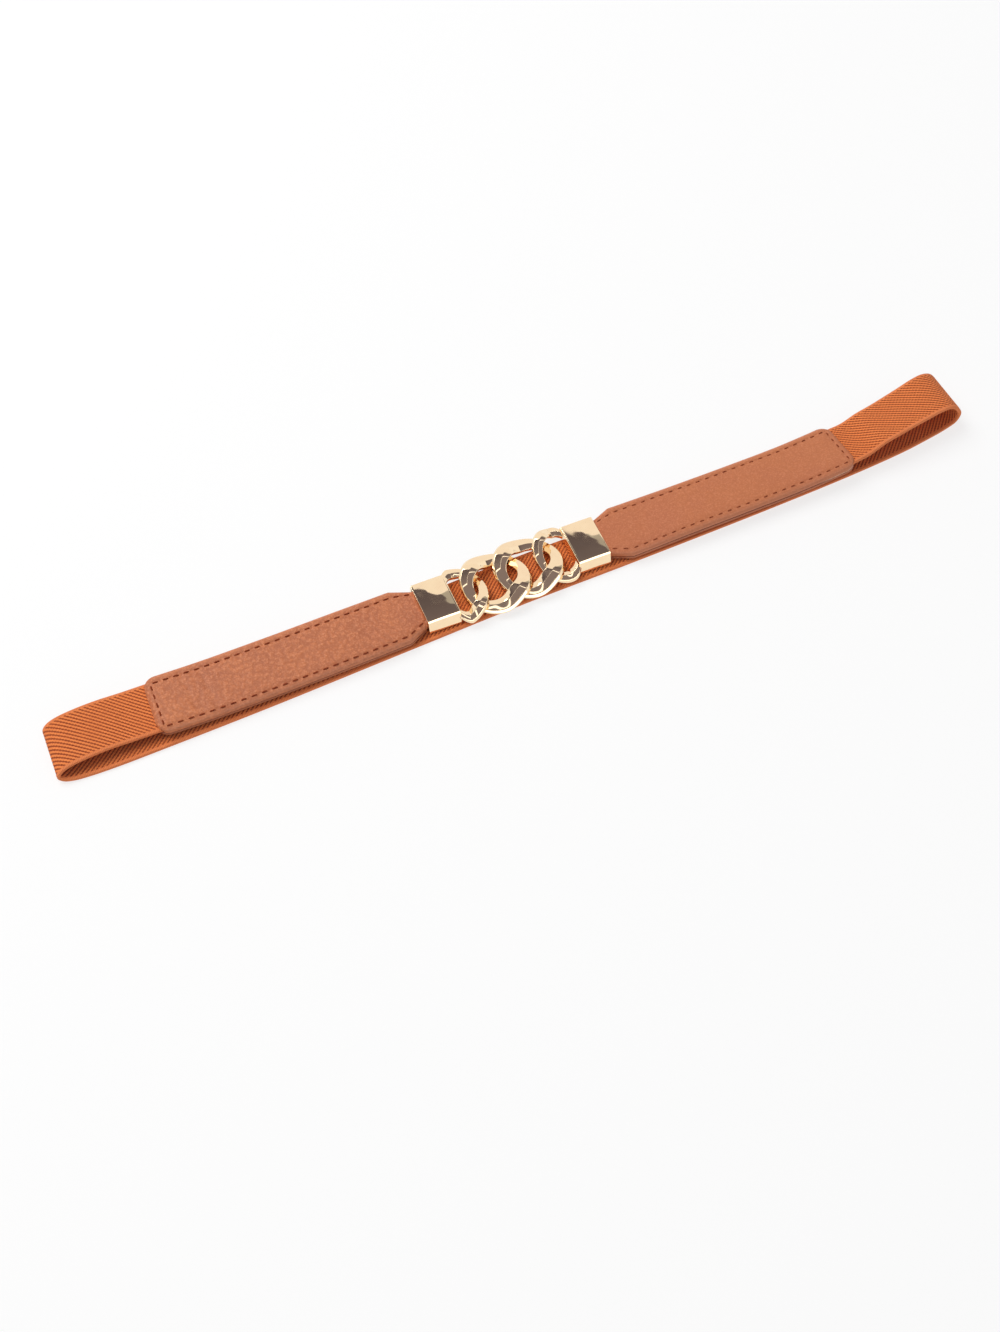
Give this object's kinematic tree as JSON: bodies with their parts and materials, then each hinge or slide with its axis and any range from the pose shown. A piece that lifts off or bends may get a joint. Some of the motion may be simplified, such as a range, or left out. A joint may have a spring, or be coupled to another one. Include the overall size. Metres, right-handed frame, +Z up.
{
  "type": "stretch belt",
  "caption": "Skinny woven stretch belt folded in half, with leather tabs at the ends and a fastened clasp of two round links between two metal caps",
  "frame": {"origin": "on the floor, under the middle of the belt's bounding box", "axes": "+X along the folded belt towards the taller fold, +Y across the belt, +Z up from the floor"},
  "size_m": [0.3598, 0.0278, 0.014],
  "materials": {
    "elastic": "matt woven elastic, tan orange, with fine diagonal ribs",
    "leather": "smooth tan leather with a fine grain and stitched edges",
    "metal": "polished pale gold plating"
  },
  "bodies": {
    "root": {"elastic_band": "elastic", "tab_front_left": "leather", "tab_back_left": "leather", "tab_front_right": "leather", "tab_back_right": "leather", "clasp_cap_left": "metal", "clasp_cap_right": "metal", "clasp_link_left": "metal", "clasp_link_right": "metal"}
  },
  "joints": []
}
